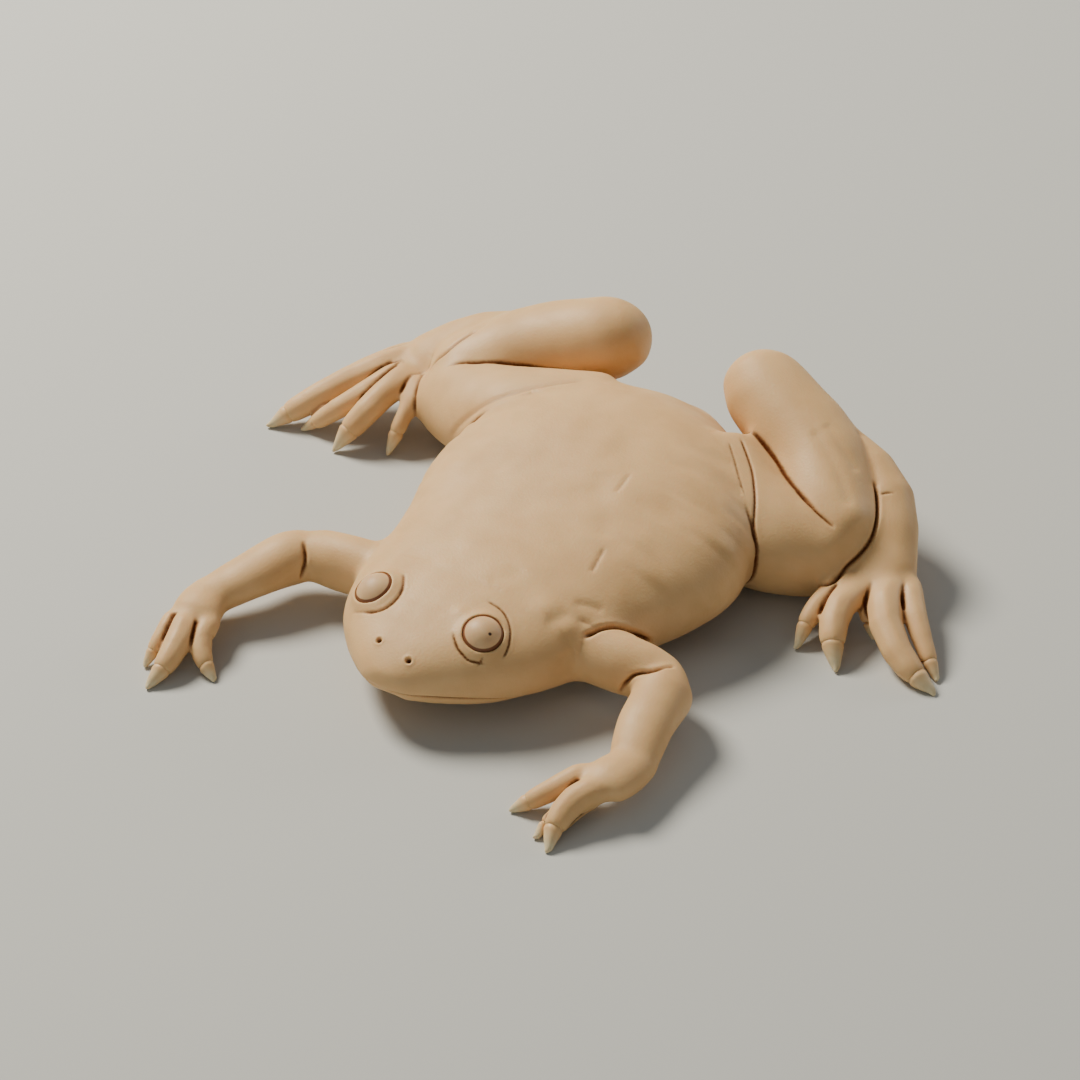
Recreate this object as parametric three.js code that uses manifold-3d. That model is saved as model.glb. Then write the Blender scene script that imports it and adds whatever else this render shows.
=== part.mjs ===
// African clawed frog, life size, lying flat on its belly with its legs folded and its toes spread.
// Millimetres, +Z up, the floor at z = 0. The snout points along -Y and the frog's left is +X.
// The origin is the middle of the flat that the belly rests on.
// A limb's place is written as [out from the midline, along the body, up], the same for both sides.
import * as THREE from "three";
import { mergeVertices } from "three/addons/utils/BufferGeometryUtils.js";
import Module from "manifold-3d";

const wasm = await Module();
wasm.setup();

// Driving dimensions

const GAP = 0.3; // clear space kept between neighbouring parts
const FLOOR_REACH = 400;
const TANGENT_STEP = 0.2; // half the length over which a limb's direction is measured
const BLUNTEST_DOME = 0.02; // keeps the last ring of a domed end open
const WELD = 1e-4; // points nearer than this are one point

const SNOUT_Y = -53.6;
const RUMP_Y = 43;
const NECK_Y = -31.5;
const BODY_BOW = 3.7; // how far the belly swings to the frog's left of a straight midline
const BOW_MIDDLE_Y = -8;
const BOW_HALF_LENGTH = 46;
const BODY_SIDES = 32;
const FULLNESS = 2.3; // 2 is an ellipse, more is squarer
const WIDEST_SHARE = 0.42; // height of the widest line, as a share of the body's depth
const TIP_INSET = 0.25; // how far the trunk's end rings stay inside its tips
const TIP_SQUARED = 0.3; // least half width, squared
const SNOUT_RING_CURVE = 1.5; // more than 1 sets the rings closer together at the snout

// The trunk from snout to rump: place along the body, half width, top and underside.
const TRUNK = [
  [SNOUT_Y, 0, 10.6, 7.8], // tip of the snout
  [-49.3, 9.0, 13.2, 4.6], // nostrils
  [-42, 16.8, 15.6, 2.3], // eyes
  [-34, 21.0, 17.2, 1.2], // corner of the jaw
  [-26, 23.4, 18.6, 0.5], // shoulders
  [-16, 26.8, 20.0, -0.3], // chest
  [-4, 30.9, 22.0, -0.4], // belly
  [8, 30.0, 23.8, -0.4], // flanks
  [20, 24.2, 23.4, 0], // loins
  [29, 17.5, 19.7, 0.8], // hips
  [36, 10.8, 14.3, 2.4], // rump
  [40.5, 6.0, 11.2, 5],
  [RUMP_Y, 0, 9.4, 7.2], // vent
];

const MOUTH_CORNER_Y = -37.5;
const MOUTH_FRONT_Z = 7.5;
const MOUTH_DROP = 3.2; // how far the line of the mouth falls from its front to its corner
const MOUTH_CURVE = 1.4; // 1 is a straight fall, more stays level at the front
const CHIN_RECESS = 1.1; // how far the lower lip stays behind the upper one at the front
const JAW_HINGE_RUN = 3; // how far behind the corner the jaw meets the throat
const LIP_RADIUS = 0.95;
const LIP_STANDS_OUT = 0.3;
const LIP_CORNER_SHARE = 0.55; // a lip's radius at the corner, as a share of its radius in front
const FULL_LIP = [LIP_RADIUS, LIP_RADIUS];

const NOSTRIL = [3.2, -49.9, 13.4];
const NOSTRIL_RADIUS = 0.5;
const NOSTRIL_DEPTH = 1.6;
const NOSTRIL_LEAN = [0.3, -0.4]; // out and along, from the middle of the nostril to its mouth

const EYE_RING = [10.4, -40.0, 13.6]; // middle of the crease round the eye's mound
const EYE_DISC = [11.0, -40.7, 15.6]; // middle of the opening between the lids
const EYE_RING_RADIUS = 4.8;
const EYE_DISC_RADIUS = 3.0;
const EYEBALL_RADIUS = 3.9;
const LID_WIDTH = 0.9;
const LID_ROUNDING = 0.4;
const MOUND_ROOT = 3; // how deep the eye's mound is sunk in the head
const TENTACLE = [13.2, -43.6, 10.6]; // the small feeler under the eye
const TENTACLE_RADIUS = 0.6;

// Radii along each limb's own length are written as [across, up] at each joint.
const ARM_RADII = {
  shoulder: [4.6, 4.8],
  upper: [4.7, 5.1],
  upperEnd: [4.3, 4.2],
  elbow: [4.9, 4.6],
  forearm: [4.7, 3.6],
  wrist: [3.9, 2.9],
  palm: [4.3, 2.9],
  knuckles: [4.2, 2.3],
};
const LEG_RADII = {
  hip: [11.2, 11.0],
  thigh: [11.2, 9.6],
  knee: [8.0, 7.8],
  shin: [8.6, 8.3],
  calf: [8.6, 8.2],
  heel: [7.7, 7.6],
  tarsus: [4.3, 4.3],
  ankle: [4.4, 4.0],
  metatarsus: [5.9, 3.3],
};

// Shifts of a joint's place by [out, along, up].
const FORE_START_SHIFT = [0, 0.4, 0.3];
const FORE_HEAD_SHIFT = [-0.6, 0.4, 0.4];
const FORE_MIDDLE_SHIFT = [-0.9, 0.6, 0.9];
const KNEE_END_SHIFT = [0, 1.2, 0.4];
const TARSUS_START_SHIFT = [1, 3, -2];
const TARSUS_MIDDLE_SHIFT = [0, 2, -1];
const CALF_BOW = [2, 4.2, 1.2]; // the calf swells outwards and to the rear

// Where each joint of the still pose lies. The two sides differ by a few millimetres.
// The tips of the digits are [out, along the body, sideways bend of the digit].
const POSE = {
  left: {
    side: 1,
    shoulder: [15, -28, 8.8],
    elbow: [37.6, -26.2, 7.0],
    wrist: [41.6, -44.2, 4.5],
    knuckles: [40.6, -50.6, 5.0],
    fingerTips: [
      [29.0, -59.3, 0.8],
      [36.0, -62.6, -0.9],
      [38.0, -60.2, -1.0],
      [39.5, -64.1, -2.6],
    ],
    hip: [14.2, 22.4, 10.8],
    knee: [40.4, 18.8, 7.3],
    thighBow: [0, -4.5, 0], // the thigh's middle swells ahead of the line from hip to knee
    shinBow: [1.0, 2.6, 1.0],
    heel: [14.9, 39.8, 20.5],
    ankle: [43.2, 33.6, 13.2],
    foot: [51.0, 18.9, 6.0],
    toeTips: [
      [45.0, 1.3, -1.0],
      [53.7, -0.2, -2.8],
      [54.4, 11.0, -1.0],
      [70.0, 3.8, -4.3],
      [68.6, 7.0, -1.0],
    ],
  },
  right: {
    side: -1,
    shoulder: [15, -28, 7.6],
    elbow: [33.8, -31.4, 7.3],
    wrist: [40.8, -47.6, 5.1],
    knuckles: [39.4, -53.2, 5.0],
    fingerTips: [
      [29.5, -59.9, 2.5],
      [38.6, -59.6, -0.6],
      [37.6, -68.0, -1.4],
      [41.6, -63.7, -0.6],
    ],
    hip: [8, 23.6, 11.2],
    knee: [39.4, 21.4, 8.0],
    thighBow: [0, -4.2, 1.3],
    shinBow: [2.4, 2.6, 1.0],
    heel: [16.4, 39.8, 20.5],
    ankle: [42.6, 33.8, 14.5],
    foot: [51.6, 25.7, 9.5],
    toeTips: [
      [46.0, 9.3, -1.6],
      [54.9, 4.7, -1.9],
      [64.0, 7.1, -3.6],
      [69.9, 4.2, -0.4],
      [70.3, 14.4, -1.6],
    ],
  },
};

// Digits: root beside, ahead of and under the knuckles, radius at root and at the claw, how
// sharply the end turns down, claw length. One digit of each hand is tucked under the others.
const INNER_FINGER = { across: -3.6, ahead: -1.8, root: 1.9, end: 1.35, turn: 1.6, claw: 3.4 };
const SLIM_FINGER = { across: -0.4, ahead: 0, root: 1.5, end: 1.0, turn: 2, claw: 3.2, under: 1.4 };
const THICK_FINGER = { across: 1.1, ahead: -0.2, root: 2.4, end: 1.5, turn: 1.6, claw: 4.4 };
const OUTER_FINGER = { across: 3.2, ahead: -0.4, root: 1.6, end: 1.0, turn: 2.2, claw: 3.2 };
const TUCKED_FINGER = { across: 0, ahead: -0.6, root: 1.5, end: 1.0, turn: 1.3, claw: 2.6, under: 2 };
const FINGERS = {
  left: [INNER_FINGER, SLIM_FINGER, TUCKED_FINGER, THICK_FINGER],
  right: [INNER_FINGER, TUCKED_FINGER, THICK_FINGER, OUTER_FINGER],
};
const TOES = [
  { across: -5.0, ahead: 0, root: 2.1, end: 1.35, turn: 2.8, claw: 4.6 },
  { across: -2.6, ahead: 0.8, root: 2.7, end: 2.0, turn: 2.8, claw: 5.2 },
  { across: -0.4, ahead: 0.5, root: 2.4, end: 1.5, turn: 2.3, claw: 3.2 },
  { across: 1.6, ahead: -0.2, root: 3.0, end: 1.9, turn: 1.8, claw: 4.8 },
  { across: 4.4, ahead: -1.3, root: 2.2, end: 1.1, turn: 1.9, claw: 3.8 },
];
const TOE_TIP_HEIGHT = 0.2; // middle of a claw's point above the floor
const CLAW_POINT_RADIUS = 0.35;
const CLAW_ROOT_SHARE = 0.84; // a claw's radius at its root, as a share of the digit's
const CLAW_TAPER = 1.3; // 1 is a straight cone, more keeps it full towards its root
const DIGIT_TAPER = 1.5; // the same for a digit

// Where the stations between two joints lie, as shares of the way from the first to the second.
const ARM_SHARES = { upper: 0.55, upperPast: 0.05, foreBefore: 0.17, foreHead: 0.12, fore: 0.5 };
const HAND_SHARES = { before: 0.15, palm: 0.55, past: 1.25 };
const LEG_SHARES = { thigh: 0.5, thighPast: 1.22, shinBefore: -0.08, shin: 0.12, calf: 0.5, past: 1.2 };
const FOOT_SHARES = { tarsus: 0.5, past: 1.08 };
const UPPER_ARM_ARCH = [0, 0, 0.4];

const SKIN = { color: 0xcdb291, roughness: 0.55, metalness: 0 };
const EYE = { color: 0xd2b795, roughness: 0.25, metalness: 0 };
const CLAW = { color: 0xc9bb93, roughness: 0.4, metalness: 0 };

// Solids

// One closed surface through rings of equal count, with a fan over each end. grow swells it
// along its normals into the fat copy that cuts its neighbours.
function closedLoft(rings, grow = 0) {
  const sides = rings[0].length;
  const middleOf = (ring) =>
    ring.reduce((sum, p) => sum.add(p), new THREE.Vector3()).divideScalar(sides);
  const points = [...rings.flat(), middleOf(rings[0]), middleOf(rings.at(-1))];
  const index = [];
  const first = points.length - 2;
  const last = points.length - 1;
  for (let j = 0; j < sides; j++) {
    const next = (j + 1) % sides;
    for (let i = 0; i < rings.length - 1; i++) {
      const a = i * sides + j;
      const b = i * sides + next;
      index.push(a, a + sides, b, b, a + sides, b + sides);
    }
    const lastRing = (rings.length - 1) * sides;
    index.push(first, j, next);
    index.push(last, lastRing + next, lastRing + j);
  }
  const geometry = new THREE.BufferGeometry().setFromPoints(points);
  geometry.setIndex(index);
  if (grow > 0) swell(geometry, grow);
  return solid(geometry);
}

function swell(geometry, grow) {
  geometry.computeVertexNormals();
  const { position, normal } = geometry.attributes;
  for (let i = 0; i < position.count; i++) {
    const moved = vec(normal.getX(i), normal.getY(i), normal.getZ(i)).multiplyScalar(grow);
    moved.add(vec(position.getX(i), position.getY(i), position.getZ(i)));
    position.setXYZ(i, ...moved);
  }
}

function solid(geometry) {
  geometry.deleteAttribute("normal");
  geometry.deleteAttribute("uv");
  const merged = mergeVertices(geometry, WELD);
  return new wasm.Manifold(
    new wasm.Mesh({
      numProp: 3,
      vertProperties: merged.attributes.position.array,
      triVerts: new Uint32Array(merged.index.array),
    }),
  );
}

function join(solids) {
  return solids.reduce((all, one) => all.add(one));
}

// What is left of a solid clear of the floor and of its neighbours: its largest closed piece.
function cut(whole, neighbours = []) {
  const rest = neighbours.reduce((left, neighbour) => left.subtract(neighbour), whole);
  const pieces = rest.subtract(belowFloor).decompose();
  return pieces.reduce((best, piece) => (piece.volume() > best.volume() ? piece : best));
}

function box(from, to) {
  const size = to.clone().sub(from);
  const geometry = new THREE.BoxGeometry(size.x, size.y, size.z);
  const middle = from.clone().add(to).multiplyScalar(0.5);
  return solid(geometry.translate(middle.x, middle.y, middle.z));
}

const vec = (x, y, z) => new THREE.Vector3(x, y, z);
const belowFloor = box(
  vec(-FLOOR_REACH, -FLOOR_REACH, -FLOOR_REACH),
  vec(FLOOR_REACH, FLOOR_REACH, 0),
);

// A smooth run of values through rows, each row set at its own place.
function smoothThrough(places, rows) {
  const run = new THREE.CubicInterpolant(places, rows.flat(), rows[0].length);
  return (place) => Array.from(run.evaluate(place));
}

// Shares from 0 to 1, closer together towards both ends.
function closerAtEnds(count) {
  return Array.from({ length: count + 1 }, (_, i) => (1 - Math.cos((Math.PI * i) / count)) / 2);
}

// A limb through stations of [x, y, z, radius across, radius up]. roundStart and roundEnd
// are the lengths over which its ends are domed.
function limb(stations, options) {
  const { sides, rings, roundStart = 0, roundEnd = 0, grow = 0, from = 0, to = 1 } = options;
  const places = [0];
  for (let i = 1; i < stations.length; i++) {
    const step = vec(...stations[i]).distanceTo(vec(...stations[i - 1]));
    places.push(places[i - 1] + step);
  }
  const length = places.at(-1);
  const at = smoothThrough(places, stations);
  const domed = (distance, round) => {
    if (!round || distance >= round) return 1;
    return Math.sqrt(Math.max(BLUNTEST_DOME, 1 - (1 - Math.max(distance, 0) / round) ** 2));
  };
  const made = closerAtEnds(rings).map((share) => {
    const place = length * (from + (to - from) * share);
    const [x, y, z, across, up] = at(place);
    const before = vec(...at(Math.max(place - TANGENT_STEP, 0)));
    const after = vec(...at(Math.min(place + TANGENT_STEP, length)));
    const ahead = after.sub(before).normalize();
    const sideways = ahead.clone().cross(vec(0, 0, 1)).normalize();
    const upwards = sideways.clone().cross(ahead);
    const dome = domed(place, roundStart) * domed(length - place, roundEnd);
    return Array.from({ length: sides }, (_, j) => {
      const turn = (2 * Math.PI * j) / sides;
      return vec(x, y, z)
        .addScaledVector(sideways, across * dome * Math.cos(turn))
        .addScaledVector(upwards, up * dome * Math.sin(turn));
    });
  });
  return closedLoft(made, grow);
}

// Trunk: head and body in one, then parted at the neck

const trunkAt = smoothThrough(
  TRUNK.map(([y]) => y),
  TRUNK.map(([, half, top, under]) => [half ** 2, top, under]),
);

function bow(y) {
  const share = (y - BOW_MIDDLE_Y) / BOW_HALF_LENGTH;
  return Math.abs(share) < 1 ? BODY_BOW * Math.cos((share * Math.PI) / 2) ** 2 : 0;
}

function trunkSection(y) {
  const [squared, top, under] = trunkAt(y);
  const widest = under + WIDEST_SHARE * (top - under);
  return {
    half: Math.sqrt(Math.max(squared, TIP_SQUARED)),
    above: top - widest,
    below: widest - under,
    widest,
  };
}

// Half width of the trunk at a height.
function halfAt(y, z) {
  const { half, above, below, widest } = trunkSection(y);
  const share = Math.min(1, Math.abs(z - widest) / (z > widest ? above : below));
  return half * (1 - share ** FULLNESS) ** (1 / FULLNESS);
}

function trunkRing(y, sides) {
  const { half, above, below, widest } = trunkSection(y);
  const bulged = (value) => Math.sign(value) * Math.abs(value) ** (2 / FULLNESS);
  return Array.from({ length: sides }, (_, j) => {
    const turn = (2 * Math.PI * j) / sides;
    const up = bulged(Math.sin(turn));
    const x = bow(y) + half * bulged(Math.cos(turn));
    return vec(x, y, widest + up * (up > 0 ? above : below));
  });
}

function trunk(sides, headRings, bodyRings, grow = 0) {
  const places = [];
  for (let i = 0; i <= headRings; i++) {
    places.push(SNOUT_Y + TIP_INSET + (NECK_Y - SNOUT_Y) * (i / headRings) ** SNOUT_RING_CURVE);
  }
  for (const share of closerAtEnds(2 * bodyRings).slice(bodyRings + 1)) {
    places.push(NECK_Y + (RUMP_Y - TIP_INSET - NECK_Y) * (2 * share - 1));
  }
  return closedLoft(
    places.map((y) => trunkRing(y, sides)),
    grow,
  );
}

const wholeTrunk = trunk(BODY_SIDES, 13, 17);
const fatTrunk = trunk(BODY_SIDES, 8, 17, GAP);
const REACH = 80;
const aheadOfNeck = (offset) => box(vec(-REACH, -REACH, -REACH), vec(REACH, NECK_Y + offset, REACH));

// Head

function mouthHeight(y) {
  const share = (y - SNOUT_Y) / (MOUTH_CORNER_Y - SNOUT_Y);
  return MOUTH_FRONT_Z - MOUTH_DROP * Math.min(Math.max(share, 0), 1) ** MOUTH_CURVE;
}

// Everything under the line of the mouth and ahead of the jaw's hinge.
function mouthRegion(offset) {
  const steps = 12;
  const outline = new THREE.Shape();
  outline.moveTo(-REACH, -REACH);
  outline.lineTo(-REACH, mouthHeight(SNOUT_Y) + offset);
  for (let i = 0; i <= steps; i++) {
    const y = SNOUT_Y + ((MOUTH_CORNER_Y - SNOUT_Y) * i) / steps;
    outline.lineTo(y + (i === steps ? offset : 0), mouthHeight(y) + offset);
  }
  outline.lineTo(MOUTH_CORNER_Y + JAW_HINGE_RUN + offset, -REACH / 2);
  outline.lineTo(MOUTH_CORNER_Y + JAW_HINGE_RUN + offset, -REACH);
  const geometry = new THREE.ExtrudeGeometry(outline, { depth: 2 * REACH, bevelEnabled: false });
  const turned = new THREE.Matrix4().makeBasis(vec(0, 1, 0), vec(0, 0, 1), vec(1, 0, 0));
  return solid(geometry.translate(0, 0, -REACH).applyMatrix4(turned));
}

// A lip runs from one corner of the mouth round the snout to the other.
function lip(rise, recess) {
  const steps = 9;
  const half = [];
  const front = SNOUT_Y + recess;
  for (let i = 0; i < steps; i++) {
    const y = MOUTH_CORNER_Y + (front - MOUTH_CORNER_Y) * Math.sin((Math.PI * i) / (2 * steps));
    const inset = LIP_RADIUS - LIP_STANDS_OUT;
    const z = mouthHeight(y) + rise;
    const taper = LIP_RADIUS * (LIP_CORNER_SHARE + ((1 - LIP_CORNER_SHARE) * i) / steps);
    half.push([halfAt(y, z) - inset, y, z, taper, taper]);
  }
  const mirrored = half.map(([x, y, z, across, up]) => [bow(y) - x, y, z, across, up]);
  const straight = half.map(([x, y, z, across, up]) => [bow(y) + x, y, z, across, up]);
  const middle = [bow(front), front + LIP_RADIUS - LIP_STANDS_OUT, MOUTH_FRONT_Z + rise, ...FULL_LIP];
  return limb([...mirrored, middle, ...straight.reverse()], { sides: 6, rings: 18 });
}

const sided = (side, [out, along, up]) => vec(side * out, along, up);
const eyeAxis = (side) => sided(side, EYE_DISC).sub(sided(side, EYE_RING)).normalize();

// Straight stations along the eye's axis, measured from the opening between the lids.
function alongEye(side, steps) {
  return steps.map(([distance, radius]) => {
    const place = sided(side, EYE_DISC).addScaledVector(eyeAxis(side), distance);
    return [...place, radius, radius];
  });
}

function eyeMound(side) {
  const rise = vec(...EYE_DISC).distanceTo(vec(...EYE_RING));
  const steps = [
    [-rise - MOUND_ROOT, EYE_RING_RADIUS],
    [-rise, EYE_RING_RADIUS],
    [-rise / 2, (EYE_RING_RADIUS + EYE_DISC_RADIUS + LID_WIDTH) / 2],
    [-LID_ROUNDING, EYE_DISC_RADIUS + LID_WIDTH],
    [LID_ROUNDING / 4, EYE_DISC_RADIUS + LID_WIDTH / 2],
  ];
  return limb(alongEye(side, steps), { sides: 18, rings: 6 });
}

// A ball whose cap shows through the opening of the lids.
function eyeball(side, grow = 0) {
  const depth = Math.sqrt(EYEBALL_RADIUS ** 2 - EYE_DISC_RADIUS ** 2);
  const place = sided(side, EYE_DISC).addScaledVector(eyeAxis(side), -depth);
  const geometry = new THREE.SphereGeometry(EYEBALL_RADIUS + grow, 18, 9);
  const upright = new THREE.Quaternion().setFromUnitVectors(vec(0, 1, 0), eyeAxis(side));
  return solid(geometry.applyQuaternion(upright).translate(place.x, place.y, place.z));
}

function nostril(side) {
  const [out, along, up] = NOSTRIL;
  const stations = [1, 0, -1].map((step) => [
    side * (out + NOSTRIL_LEAN[0] * step),
    along + NOSTRIL_LEAN[1] * step,
    up + NOSTRIL_DEPTH * step,
    NOSTRIL_RADIUS,
    NOSTRIL_RADIUS,
  ]);
  return limb(stations, { sides: 8, rings: 3 });
}

function tentacle(side) {
  const geometry = new THREE.SphereGeometry(TENTACLE_RADIUS, 8, 6);
  return solid(geometry.translate(...sided(side, TENTACLE)));
}

const SIDES = ["left", "right"];
const signs = [1, -1];
const parts = new Map();

const wholeHead = join([
  wholeTrunk.intersect(aheadOfNeck(-GAP / 2)),
  ...signs.map(eyeMound),
  ...signs.map(tentacle),
  lip(LIP_RADIUS, 0),
  lip(-LIP_RADIUS, CHIN_RECESS),
]);
const headHollows = join([...signs.map((s) => eyeball(s, GAP)), ...signs.map(nostril)]);
parts.set("torso", [cut(wholeTrunk, [aheadOfNeck(GAP / 2)]), SKIN]);
parts.set("head", [cut(wholeHead, [headHollows, mouthRegion(GAP / 2)]), SKIN]);
parts.set("lower_jaw", [cut(wholeHead.intersect(mouthRegion(-GAP / 2))), SKIN]);
SIDES.forEach((name, i) => parts.set(`eye_${name}`, [cut(eyeball(signs[i])), EYE]));

// Limbs

const placed = (side, [out, along, up], radii) => [side * out, along, up, ...radii];
const between = (a, b, share) => a.map((value, i) => value + (b[i] - value) * share);
const shifted = (place, shift) => place.map((value, i) => value + shift[i]);

function armParts(pose) {
  const { side, shoulder, elbow, wrist, knuckles } = pose;
  const r = ARM_RADII;
  const upper = [
    placed(side, shoulder, r.shoulder),
    placed(side, shifted(between(shoulder, elbow, ARM_SHARES.upper), UPPER_ARM_ARCH), r.upper),
    placed(side, elbow, r.upperEnd),
    placed(side, between(elbow, wrist, ARM_SHARES.upperPast), r.upperEnd),
  ];
  const fore = [
    placed(side, shifted(between(elbow, shoulder, ARM_SHARES.foreBefore), FORE_START_SHIFT), r.elbow),
    placed(side, shifted(between(elbow, wrist, ARM_SHARES.foreHead), FORE_HEAD_SHIFT), r.elbow),
    placed(side, shifted(between(elbow, wrist, ARM_SHARES.fore), FORE_MIDDLE_SHIFT), r.forearm),
    placed(side, wrist, r.wrist),
  ];
  const hand = [
    placed(side, between(wrist, elbow, HAND_SHARES.before), r.wrist),
    placed(side, wrist, r.wrist),
    placed(side, between(wrist, knuckles, HAND_SHARES.palm), r.palm),
    placed(side, between(wrist, knuckles, HAND_SHARES.past), r.knuckles),
  ];
  const upperShape = { sides: 12, rings: 9, roundEnd: 4.8 };
  const foreShape = { sides: 12, rings: 9, roundStart: 3.5, roundEnd: 2.5 };
  const handShape = { sides: 12, rings: 7, roundEnd: 2 };
  return { upper, fore, hand, upperShape, foreShape, handShape };
}

function legParts(pose) {
  const { side, hip, knee, thighBow, shinBow, heel, ankle, foot } = pose;
  const r = LEG_RADII;
  const thigh = [
    placed(side, hip, r.hip),
    placed(side, shifted(between(hip, knee, LEG_SHARES.thigh), thighBow), r.thigh),
    placed(side, knee, r.knee),
    placed(side, shifted(between(hip, knee, LEG_SHARES.thighPast), KNEE_END_SHIFT), r.knee),
  ];
  const shank = [
    placed(side, shifted(between(knee, heel, LEG_SHARES.shinBefore), shinBow), r.shin),
    placed(side, shifted(between(knee, heel, LEG_SHARES.shin), shinBow), r.shin),
    placed(side, shifted(between(knee, heel, LEG_SHARES.calf), CALF_BOW), r.calf),
    placed(side, heel, r.heel),
    placed(side, between(knee, heel, LEG_SHARES.past), r.heel),
  ];
  const sole = [
    placed(side, shifted(heel, TARSUS_START_SHIFT), r.tarsus),
    placed(side, shifted(between(heel, ankle, FOOT_SHARES.tarsus), TARSUS_MIDDLE_SHIFT), r.tarsus),
    placed(side, ankle, r.ankle),
    placed(side, foot, r.metatarsus),
    placed(side, between(ankle, foot, FOOT_SHARES.past), r.metatarsus),
  ];
  const thighShape = { sides: 16, rings: 9, roundEnd: 7.5 };
  const shankShape = { sides: 16, rings: 11, roundStart: 5, roundEnd: 7 };
  const footShape = { sides: 12, rings: 12, roundStart: 3.5, roundEnd: 2.5 };
  return { thigh, shank, sole, thighShape, shankShape, footShape };
}

// A digit bends sideways in plan and turns down to rest its point on the floor.
function digitStations(pose, digit, tip, from, towards) {
  const heading = vec(towards[0] - from[0], towards[1] - from[1], 0).normalize();
  const beside = vec(-heading.y, heading.x, 0);
  const root = vec(...towards)
    .addScaledVector(beside, digit.across)
    .addScaledVector(heading, digit.ahead)
    .setZ(towards[2] - (digit.under ?? 0));
  const end = vec(tip[0], tip[1], TOE_TIP_HEIGHT);
  const run = end.clone().sub(root).setZ(0).normalize();
  const bendDirection = vec(-run.y, run.x, 0);
  const steps = 6;
  return Array.from({ length: steps + 1 }, (_, i) => {
    const share = i / steps;
    const place = root.clone().lerp(end, share);
    place.addScaledVector(bendDirection, tip[2] * 4 * share * (1 - share));
    place.z = end.z + (root.z - end.z) * (1 - share ** digit.turn);
    const radius = digit.root + (digit.end - digit.root) * share ** DIGIT_TAPER;
    return placed(pose.side, place.toArray(), [radius, radius]);
  });
}

function pathLength(stations) {
  return stations.slice(1).reduce((sum, s, i) => sum + vec(...s).distanceTo(vec(...stations[i])), 0);
}

// A claw narrows from the digit's own thickness to its point.
function clawStations(stations, length) {
  const whole = pathLength(stations);
  let gone = 0;
  return stations.map((station, i) => {
    if (i > 0) gone += vec(...station).distanceTo(vec(...stations[i - 1]));
    const share = Math.max(0, (gone - (whole - length)) / length);
    const narrowed = CLAW_ROOT_SHARE * (1 - share ** CLAW_TAPER);
    const radii = station.slice(3).map((r) => CLAW_POINT_RADIUS + (r - CLAW_POINT_RADIUS) * narrowed);
    return [...station.slice(0, 3), ...radii];
  });
}

function addDigits(names, pose, digits, tips, from, towards, cutters) {
  const order = [3, 1, 2, 0, 4].filter((n) => n < digits.length);
  const fatDigits = [];
  for (const n of order) {
    const digit = digits[n];
    const stations = digitStations(pose, digit, tips[n], from, towards);
    const length = pathLength(stations);
    const clawFrom = 1 - digit.claw / length;
    const shape = { sides: 8, rings: 6, roundStart: 2, to: clawFrom };
    const clawed = clawStations(stations, digit.claw);
    const clawShape = { sides: 8, rings: 4, from: clawFrom + GAP / length };
    parts.set(names.digit(n + 1), [cut(limb(stations, shape), [...cutters, ...fatDigits]), SKIN]);
    parts.set(names.claw(n + 1), [cut(limb(clawed, clawShape), fatDigits), CLAW]);
    fatDigits.push(limb(stations, { sides: 8, rings: 6, roundStart: 2, grow: GAP }));
  }
}

for (const name of SIDES) {
  const pose = POSE[name];
  const arm = armParts(pose);
  const fatUpper = limb(arm.upper, { ...arm.upperShape, grow: GAP });
  const fatFore = limb(arm.fore, { ...arm.foreShape, grow: GAP });
  const fatHand = limb(arm.hand, { ...arm.handShape, grow: GAP });
  parts.set(`upper_arm_${name}`, [cut(limb(arm.upper, arm.upperShape), [fatTrunk]), SKIN]);
  parts.set(`forearm_${name}`, [cut(limb(arm.fore, arm.foreShape), [fatTrunk, fatUpper]), SKIN]);
  parts.set(`hand_${name}`, [cut(limb(arm.hand, arm.handShape), [fatFore]), SKIN]);
  const fingerNames = {
    digit: (n) => `finger_${n}_${name}`,
    claw: (n) => `claw_finger_${n}_${name}`,
  };
  const { wrist, knuckles, fingerTips } = pose;
  addDigits(fingerNames, pose, FINGERS[name], fingerTips, wrist, knuckles, [fatFore, fatHand]);

  const leg = legParts(pose);
  const fatThigh = limb(leg.thigh, { ...leg.thighShape, grow: GAP });
  const fatShank = limb(leg.shank, { ...leg.shankShape, grow: GAP });
  const fatFoot = limb(leg.sole, { ...leg.footShape, grow: GAP });
  parts.set(`thigh_${name}`, [cut(limb(leg.thigh, leg.thighShape), [fatTrunk]), SKIN]);
  parts.set(`shank_${name}`, [cut(limb(leg.shank, leg.shankShape), [fatTrunk, fatThigh]), SKIN]);
  const aboveFoot = [fatTrunk, fatThigh, fatShank];
  parts.set(`foot_${name}`, [cut(limb(leg.sole, leg.footShape), aboveFoot), SKIN]);
  const toeNames = {
    digit: (n) => `toe_${n}_${name}`,
    claw: (n) => `claw_toe_${n}_${name}`,
  };
  const { ankle, foot, toeTips } = pose;
  addDigits(toeNames, pose, TOES, toeTips, ankle, foot, [fatThigh, fatShank, fatFoot]);
}

// Scene graph

function meshOf(name, whole, look) {
  const { vertProperties, triVerts } = whole.getMesh();
  const geometry = new THREE.BufferGeometry();
  geometry.setAttribute("position", new THREE.BufferAttribute(vertProperties, 3));
  geometry.setIndex(new THREE.BufferAttribute(triVerts, 1));
  geometry.computeVertexNormals();
  const mesh = new THREE.Mesh(geometry, new THREE.MeshStandardMaterial(look));
  mesh.name = name;
  return mesh;
}

const frog = new THREE.Group();
for (const [name, [whole, look]] of parts) frog.add(meshOf(name, whole, look));

export default frog;
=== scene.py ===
# African clawed frog, life size: one skin over the flesh, with separate eyes and claws, on a
# plain floor in soft studio light. Metres, the snout towards -Y and the frog's left towards +X.
import math

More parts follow.
